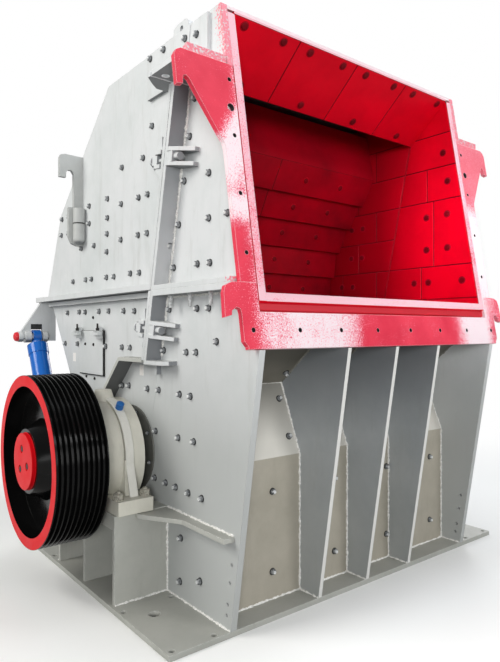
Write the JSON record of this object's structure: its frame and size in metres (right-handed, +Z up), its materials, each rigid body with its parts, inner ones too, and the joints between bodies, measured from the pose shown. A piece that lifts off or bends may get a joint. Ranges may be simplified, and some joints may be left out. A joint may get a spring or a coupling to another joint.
{
  "type": "horizontal shaft impact crusher",
  "caption": "Fixed impact crusher with a wide feed opening, a heavy rotor on side bearings, a belt pulley and a rear housing that opens on cylinders.",
  "frame": {"origin": "on the ground under the middle of the rotor, at the centre of the base plate's bolt patterns", "axes": "+Z up, -Y towards the feed opening, -X towards the drive pulley"},
  "size_m": [3.365, 3.3506, 3.518],
  "materials": {
    "grey_paint": "satin light grey machine paint over welded plate",
    "red_primer": "satin red primer on wear plate",
    "sprayed_red_paint": "red paint with pale overspray",
    "cast_cream_paint": "pale grey paint on castings",
    "turned_steel": "turned steel",
    "rotor_plate": "dark primer on heavy plate",
    "cast_wear_iron": "as-cast wear iron",
    "black_enamel": "gloss black enamel",
    "red_enamel": "gloss red enamel",
    "blue_enamel": "gloss blue enamel"
  },
  "bodies": {
    "frame": {"base_plate": "grey_paint", "lower_front_side_left": "grey_paint", "lower_front_side_right": "grey_paint", "lower_rear_side_left": "grey_paint", "lower_rear_side_right": "grey_paint", "lower_front_wall": "grey_paint", "lower_rear_wall": "grey_paint", "front_ribs": "grey_paint", "chute_liner": "red_primer", "feed_flange_lower": "sprayed_red_paint", "lower_side_liners": "red_primer", "bearing_pedestal_left": "grey_paint", "bearing_pedestal_right": "grey_paint", "bearing_housing_left": "cast_cream_paint", "bearing_housing_right": "cast_cream_paint", "side_stiffeners_left": "grey_paint", "side_stiffeners_right": "grey_paint", "inspection_doors": "grey_paint", "cylinder_brackets": "grey_paint", "hinge_brackets": "grey_paint", "front_box_side_left": "grey_paint", "front_box_side_right": "grey_paint", "front_box_roof": "grey_paint", "feed_flange_upper": "sprayed_red_paint", "feed_side_liners": "red_primer", "feed_ceiling_liner": "red_primer", "lower_clamps": "grey_paint", "upper_clamps_front": "grey_paint"},
    "rear_frame": {"rear_frame_side_left": "grey_paint", "rear_frame_side_right": "grey_paint", "rear_frame_shell": "grey_paint", "rear_side_liners": "red_primer", "rear_hook_plates": "grey_paint", "cylinder_ears": "grey_paint", "hinge_knuckles": "grey_paint", "upper_clamps_rear": "grey_paint", "apron_shafts": "turned_steel", "second_apron": "red_primer"},
    "first_apron": {"first_apron": "red_primer"},
    "rotor": {"rotor_shaft": "turned_steel", "rotor_discs": "rotor_plate", "blow_bars": "cast_wear_iron", "pulley": "black_enamel", "pulley_hub": "red_enamel"},
    "barrel_left": {"cylinder_barrel_left": "blue_enamel"},
    "rod_left": {"cylinder_rod_left": "blue_enamel"},
    "barrel_right": {"cylinder_barrel_right": "blue_enamel"},
    "rod_right": {"cylinder_rod_right": "blue_enamel"}
  },
  "joints": [
    {"name": "rotor_spin", "type": "hinge", "parent": "frame", "child": "rotor", "pos_m": [0, 0, 0.857], "axis": [1, 0, 0], "continuous": true},
    {"name": "rear_frame_opening", "type": "hinge", "parent": "frame", "child": "rear_frame", "pos_m": [0, 1.9, 1.88], "axis": [-1, 0, 0], "range_deg": [0, 30]},
    {"name": "first_apron_swing", "type": "hinge", "parent": "rear_frame", "child": "first_apron", "pos_m": [0, -0.12, 3.08], "axis": [1, 0, 0], "range_deg": [0, 10]},
    {"name": "cylinder_left_lean", "type": "hinge", "parent": "frame", "child": "barrel_left", "pos_m": [-1.232, 1.05, 0.42], "axis": [1, 0, 0], "range_deg": [0, 7.3]},
    {"name": "cylinder_left_stroke", "type": "slide", "parent": "barrel_left", "child": "rod_left", "axis": [0, 0.4478, 0.8941], "range_m": [0, 0.106]},
    {"name": "cylinder_right_lean", "type": "hinge", "parent": "frame", "child": "barrel_right", "pos_m": [1.232, 1.05, 0.42], "axis": [1, 0, 0], "range_deg": [0, 7.3]},
    {"name": "cylinder_right_stroke", "type": "slide", "parent": "barrel_right", "child": "rod_right", "axis": [0, 0.4478, 0.8941], "range_m": [0, 0.106]}
  ],
  "couplings": [
    {"joint": "cylinder_left_lean", "follows": "rear_frame_opening", "ratio": 0.235},
    {"joint": "cylinder_left_stroke", "follows": "rear_frame_opening", "m_per_rad": 0.197},
    {"joint": "cylinder_right_lean", "follows": "rear_frame_opening", "ratio": 0.235},
    {"joint": "cylinder_right_stroke", "follows": "rear_frame_opening", "m_per_rad": 0.197}
  ]
}
